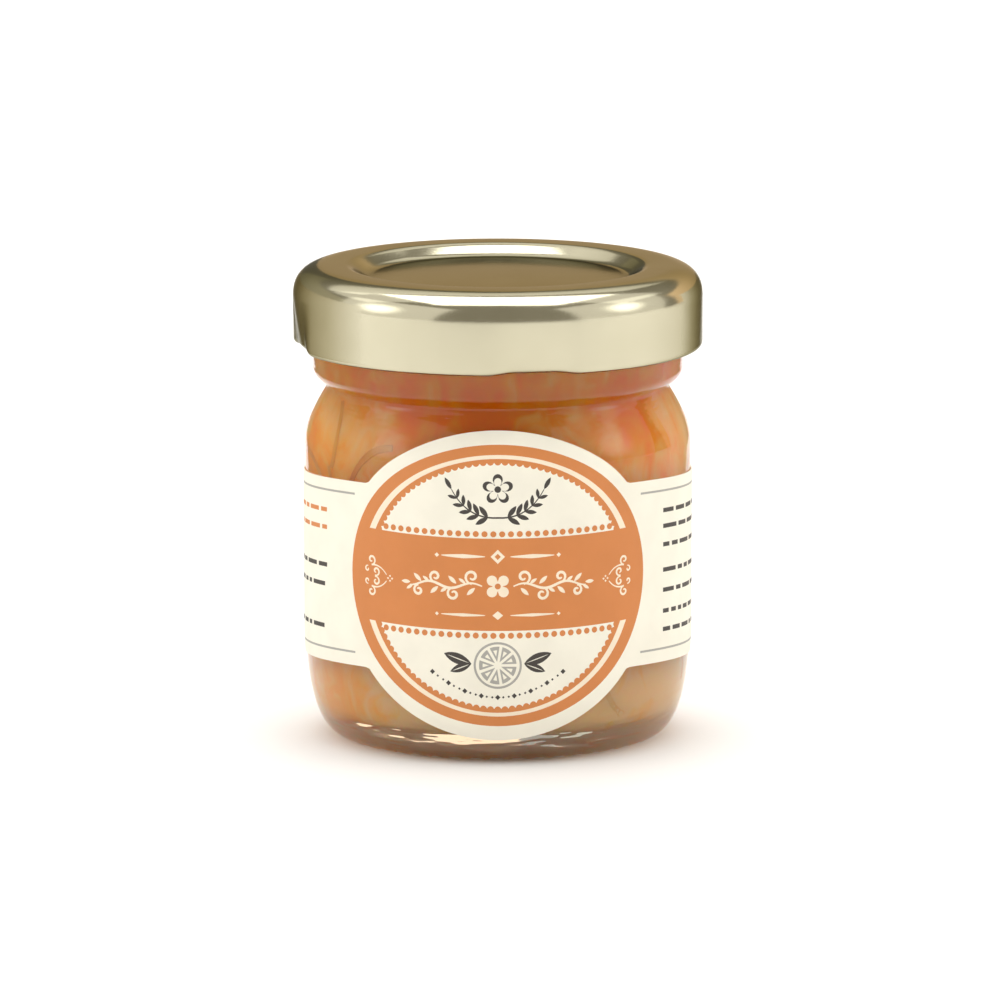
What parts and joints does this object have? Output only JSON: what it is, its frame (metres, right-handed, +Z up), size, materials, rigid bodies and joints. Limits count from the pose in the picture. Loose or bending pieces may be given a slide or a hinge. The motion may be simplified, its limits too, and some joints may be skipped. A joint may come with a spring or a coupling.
{
  "type": "marmalade jar",
  "caption": "Small round clear glass jar filled with marmalade, shut with a gold twist-off metal lid and wrapped in a cream paper label with a round front.",
  "frame": {"origin": "middle of the ring that the jar stands on, at the height of the surface under it", "axes": "+Z up along the jar's axis; the round front of the label faces -Y; +X to the viewer's right"},
  "size_m": [0.0464, 0.0464, 0.0535],
  "materials": {
    "jar_glass": "clear, smooth, thick moulded glass",
    "marmalade": "translucent amber jelly with peel shreds",
    "gold_lacquered_tinplate": "pale gold satin lacquer over tinplate",
    "label_paper": "matte cream paper with printed ink"
  },
  "bodies": {
    "root": {"glass_jar": "jar_glass", "marmalade": "marmalade", "lid": "gold_lacquered_tinplate", "label": "label_paper"}
  },
  "joints": []
}
